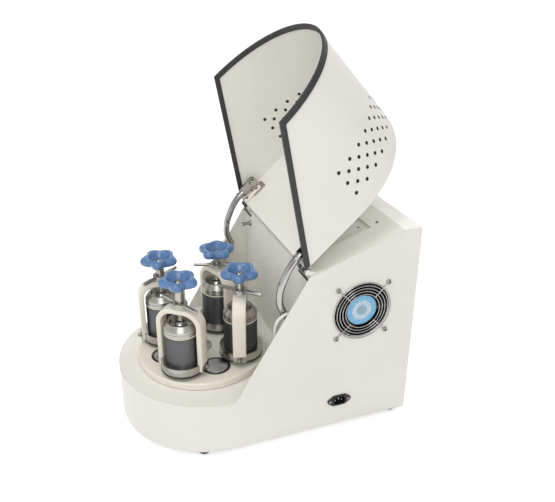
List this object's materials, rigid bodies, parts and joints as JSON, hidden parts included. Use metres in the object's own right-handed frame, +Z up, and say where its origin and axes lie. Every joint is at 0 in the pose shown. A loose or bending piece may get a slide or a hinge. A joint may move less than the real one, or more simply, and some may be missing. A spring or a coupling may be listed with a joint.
{
  "type": "planetary ball mill",
  "caption": "Bench planetary ball mill: screw-clamped grinding jars on a geared turntable, in an off-white sheet-metal casing with a vented hood hinged open",
  "frame": {"origin": "middle of the footprint at bench height, on the undersides of the feet", "axes": "+Z up; the half-round front with the turntable faces -Y, the control slope and rear panel are towards +Y, the fan and the mains inlet are on the +X side"},
  "size_m": [0.3746, 0.5544, 0.7672],
  "materials": {
    "casing_paint": "fine satin powder coat, warm off-white",
    "frame_paint": "semi-gloss enamel, cream",
    "edge_rubber": "matt extruded edging",
    "foot_rubber": "matt moulded",
    "black_plastic": "fine-grained moulding",
    "hinge_black": "fine-grained moulding",
    "chrome": "polished",
    "satin_steel": "turned and brushed",
    "gear_steel": "hobbed, oiled",
    "jar_grey": "dark satin",
    "knob_blue": "glossy moulding",
    "cast_grey": "painted casting",
    "pulley_metal": "machined",
    "belt_rubber": "woven back",
    "panel_film": "smooth film",
    "key_green": "glossy moulding",
    "key_red": "glossy moulding",
    "zinc_sheet": "zinc-plated sheet"
  },
  "bodies": {
    "casing": {"casing_wrap": "casing_paint", "chamber_deck": "casing_paint", "upper_cover": "casing_paint", "rear_panel": "casing_paint", "base_pan": "zinc_sheet", "rubber_feet": "foot_rubber", "control_panel": "panel_film", "fan_frame": "black_plastic", "fan_guard": "chrome", "mains_inlet": "black_plastic", "hood_sensor_peg": "black_plastic", "hinge_blocks": "hinge_black", "stay_guides": "casing_paint", "sun_gear": "gear_steel", "bearing_housing": "cast_grey", "drive_belt": "belt_rubber", "drive_motor": "cast_grey"},
    "hood": {"hood_shell": "casing_paint", "hood_trim": "edge_rubber", "hood_brackets": "satin_steel"},
    "stays": {"hood_stays": "chrome"},
    "turntable": {"turntable_disc": "frame_paint", "main_shaft": "satin_steel", "idler_covers": "satin_steel"},
    "fan": {"fan_rotor": "black_plastic"},
    "motor_shaft": {"motor_pulley": "pulley_metal"},
    "start_button": {"start_key": "key_green"},
    "stop_button": {"stop_key": "key_red"},
    "idler_1": {"idler_gear_1": "gear_steel"},
    "idler_2": {"idler_gear_2": "gear_steel"},
    "idler_3": {"idler_gear_3": "gear_steel"},
    "idler_4": {"idler_gear_4": "gear_steel"},
    "station_1": {"jar_holder_1": "satin_steel", "grinding_jar_1": "jar_grey", "jar_lid_1": "satin_steel", "clamp_yoke_1": "frame_paint"},
    "screw_1": {"clamp_screw_1": "chrome"},
    "knob_1": {"clamp_knob_1": "knob_blue"},
    "locknut_1": {"lock_nut_1": "satin_steel"},
    "station_2": {"jar_holder_2": "satin_steel", "grinding_jar_2": "jar_grey", "jar_lid_2": "satin_steel", "clamp_yoke_2": "frame_paint"},
    "screw_2": {"clamp_screw_2": "chrome"},
    "knob_2": {"clamp_knob_2": "knob_blue"},
    "locknut_2": {"lock_nut_2": "satin_steel"},
    "station_3": {"jar_holder_3": "satin_steel", "grinding_jar_3": "jar_grey", "jar_lid_3": "satin_steel", "clamp_yoke_3": "frame_paint"},
    "screw_3": {"clamp_screw_3": "chrome"},
    "knob_3": {"clamp_knob_3": "knob_blue"},
    "locknut_3": {"lock_nut_3": "satin_steel"},
    "station_4": {"jar_holder_4": "satin_steel", "grinding_jar_4": "jar_grey", "jar_lid_4": "satin_steel", "clamp_yoke_4": "frame_paint"},
    "screw_4": {"clamp_screw_4": "chrome"},
    "knob_4": {"clamp_knob_4": "knob_blue"},
    "locknut_4": {"lock_nut_4": "satin_steel"}
  },
  "joints": [
    {"name": "hood_hinge", "type": "hinge", "parent": "casing", "child": "hood", "pos_m": [0, 0.0494, 0.36855], "axis": [1, 0, 0], "range_deg": [0, 138.2]},
    {"name": "stay_pivot", "type": "hinge", "parent": "hood", "child": "stays", "pos_m": [0, 0.063, 0.419], "axis": [1, 0, 0], "range_deg": [-108.3, 0]},
    {"name": "turntable_spin", "type": "hinge", "parent": "casing", "child": "turntable", "pos_m": [-0.00088, -0.106, 0.136], "axis": [0, 0, 1], "continuous": true},
    {"name": "motor_spin", "type": "hinge", "parent": "casing", "child": "motor_shaft", "pos_m": [-0.00088, 0.1695, 0.04], "axis": [0, 0, 1], "continuous": true},
    {"name": "fan_spin", "type": "hinge", "parent": "casing", "child": "fan", "pos_m": [0.16432, 0.1619, 0.2697], "axis": [1, 0, 0], "continuous": true},
    {"name": "start_key_press", "type": "slide", "parent": "casing", "child": "start_button", "axis": [0, 0.3248, -0.9458], "range_m": [0, 0.0015], "stiffness_N_per_m": 300},
    {"name": "stop_key_press", "type": "slide", "parent": "casing", "child": "stop_button", "axis": [0, 0.3248, -0.9458], "range_m": [0, 0.0015], "stiffness_N_per_m": 300},
    {"name": "idler_1_spin", "type": "hinge", "parent": "turntable", "child": "idler_1", "pos_m": [0.07758, -0.09914, 0.124], "axis": [0, 0, 1], "continuous": true},
    {"name": "idler_2_spin", "type": "hinge", "parent": "turntable", "child": "idler_2", "pos_m": [-0.00774, -0.02755, 0.124], "axis": [0, 0, 1], "continuous": true},
    {"name": "idler_3_spin", "type": "hinge", "parent": "turntable", "child": "idler_3", "pos_m": [-0.07933, -0.11286, 0.124], "axis": [0, 0, 1], "continuous": true},
    {"name": "idler_4_spin", "type": "hinge", "parent": "turntable", "child": "idler_4", "pos_m": [0.00599, -0.18445, 0.124], "axis": [0, 0, 1], "continuous": true},
    {"name": "station_1_spin", "type": "hinge", "parent": "turntable", "child": "station_1", "pos_m": [0.06556, -0.16174, 0.136], "axis": [0, 0, 1], "continuous": true},
    {"name": "screw_1_feed", "type": "slide", "parent": "station_1", "child": "screw_1", "axis": [0, 0, 1], "range_m": [0, 0.008]},
    {"name": "knob_1_turn", "type": "hinge", "parent": "screw_1", "child": "knob_1", "pos_m": [0.06556, -0.16174, 0.2891], "axis": [0, 0, 1], "range_deg": [0, 1646]},
    {"name": "lock_nut_1_turn", "type": "hinge", "parent": "station_1", "child": "locknut_1", "pos_m": [0.06556, -0.16174, 0.2768], "axis": [0, 0, 1], "range_deg": [0, 90]},
    {"name": "station_2_spin", "type": "hinge", "parent": "turntable", "child": "station_2", "pos_m": [0.05487, -0.03957, 0.136], "axis": [0, 0, 1], "continuous": true},
    {"name": "screw_2_feed", "type": "slide", "parent": "station_2", "child": "screw_2", "axis": [0, 0, 1], "range_m": [0, 0.008]},
    {"name": "knob_2_turn", "type": "hinge", "parent": "screw_2", "child": "knob_2", "pos_m": [0.05487, -0.03957, 0.2891], "axis": [0, 0, 1], "range_deg": [0, 1646]},
    {"name": "lock_nut_2_turn", "type": "hinge", "parent": "station_2", "child": "locknut_2", "pos_m": [0.05487, -0.03957, 0.2768], "axis": [0, 0, 1], "range_deg": [0, 90]},
    {"name": "station_3_spin", "type": "hinge", "parent": "turntable", "child": "station_3", "pos_m": [-0.06731, -0.05026, 0.136], "axis": [0, 0, 1], "continuous": true},
    {"name": "screw_3_feed", "type": "slide", "parent": "station_3", "child": "screw_3", "axis": [0, 0, 1], "range_m": [0, 0.008]},
    {"name": "knob_3_turn", "type": "hinge", "parent": "screw_3", "child": "knob_3", "pos_m": [-0.06731, -0.05026, 0.2891], "axis": [0, 0, 1], "range_deg": [0, 1646]},
    {"name": "lock_nut_3_turn", "type": "hinge", "parent": "station_3", "child": "locknut_3", "pos_m": [-0.06731, -0.05026, 0.2768], "axis": [0, 0, 1], "range_deg": [0, 90]},
    {"name": "station_4_spin", "type": "hinge", "parent": "turntable", "child": "station_4", "pos_m": [-0.05662, -0.17243, 0.136], "axis": [0, 0, 1], "continuous": true},
    {"name": "screw_4_feed", "type": "slide", "parent": "station_4", "child": "screw_4", "axis": [0, 0, 1], "range_m": [0, 0.008]},
    {"name": "knob_4_turn", "type": "hinge", "parent": "screw_4", "child": "knob_4", "pos_m": [-0.05662, -0.17243, 0.2891], "axis": [0, 0, 1], "range_deg": [0, 1646]},
    {"name": "lock_nut_4_turn", "type": "hinge", "parent": "station_4", "child": "locknut_4", "pos_m": [-0.05662, -0.17243, 0.2768], "axis": [0, 0, 1], "range_deg": [0, 90]}
  ],
  "couplings": [
    {"joint": "stay_pivot", "follows": "hood_hinge", "ratio": -0.78292},
    {"joint": "motor_spin", "follows": "turntable_spin", "ratio": 2.0455},
    {"joint": "idler_1_spin", "follows": "turntable_spin", "ratio": 0.8},
    {"joint": "idler_2_spin", "follows": "turntable_spin", "ratio": 0.8},
    {"joint": "idler_3_spin", "follows": "turntable_spin", "ratio": 0.8},
    {"joint": "idler_4_spin", "follows": "turntable_spin", "ratio": 0.8},
    {"joint": "station_1_spin", "follows": "turntable_spin", "ratio": -1.75},
    {"joint": "knob_1_turn", "follows": "screw_1_feed", "rad_per_m": 3590.4},
    {"joint": "station_2_spin", "follows": "turntable_spin", "ratio": -1.75},
    {"joint": "knob_2_turn", "follows": "screw_2_feed", "rad_per_m": 3590.4},
    {"joint": "station_3_spin", "follows": "turntable_spin", "ratio": -1.75},
    {"joint": "knob_3_turn", "follows": "screw_3_feed", "rad_per_m": 3590.4},
    {"joint": "station_4_spin", "follows": "turntable_spin", "ratio": -1.75},
    {"joint": "knob_4_turn", "follows": "screw_4_feed", "rad_per_m": 3590.4}
  ]
}
